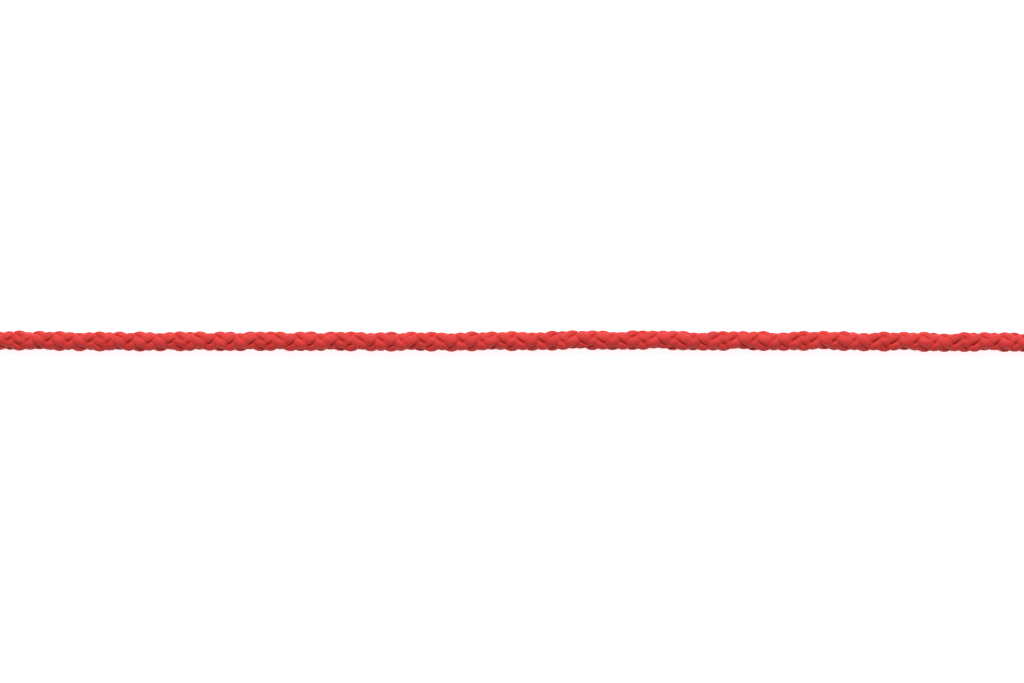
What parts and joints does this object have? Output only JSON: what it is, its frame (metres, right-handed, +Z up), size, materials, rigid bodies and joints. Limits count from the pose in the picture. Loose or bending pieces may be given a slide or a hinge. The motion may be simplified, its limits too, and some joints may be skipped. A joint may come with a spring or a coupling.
{
  "type": "horse lead rope",
  "caption": "Round braided lead rope with a swivelling bolt snap clamped on one end, laid straight with its spare length tied in a hank.",
  "frame": {"origin": "on the floor, under the middle of the snap, the clamp and the clamped rope end", "axes": "+X along the rope, from the snap towards the hank; +Z up from the floor"},
  "size_m": [1.2431, 0.0979, 0.0318],
  "materials": {
    "red_rope": "soft satin braided polypropylene yarn",
    "rope_core": "dyed core yarn",
    "cast_brass": "tumbled cast brass",
    "turned_brass": "turned brass",
    "crimped_brass": "pressed brass sheet",
    "spring_steel": "bright spring wire",
    "whipping_twine": "waxed twine",
    "tie_webbing": "woven webbing"
  },
  "bodies": {
    "rope": {"rope_eye": "red_rope", "rope_clamp": "crimped_brass", "rope_sheath": "red_rope", "rope_core": "rope_core", "rope_hank": "red_rope", "rope_tail": "red_rope", "tail_whipping": "whipping_twine", "hank_tie": "tie_webbing"},
    "swivel": {"swivel_eye": "cast_brass", "swivel_washer": "spring_steel"},
    "snap": {"snap_hook": "cast_brass", "bolt_spring": "spring_steel", "barrel_plug": "turned_brass"},
    "bolt": {"snap_bolt": "turned_brass", "bolt_knob": "turned_brass"}
  },
  "joints": [
    {"name": "eye_swing", "type": "hinge", "parent": "rope", "child": "swivel", "pos_m": [0.03153, 0.00062, 0.01549], "axis": [0, 0, 1], "range_deg": [-60, 60]},
    {"name": "snap_swivel", "type": "hinge", "parent": "swivel", "child": "snap", "pos_m": [0.01878, 0.00062, 0.01549], "axis": [-0.9937, 0, -0.1123], "continuous": true},
    {"name": "bolt_slide", "type": "slide", "parent": "snap", "child": "bolt", "axis": [0.9937, 0, 0.1123], "range_m": [0, 0.012], "stiffness_N_per_m": 300, "springref_m": -0.01, "deforming": ["bolt_spring"]}
  ]
}
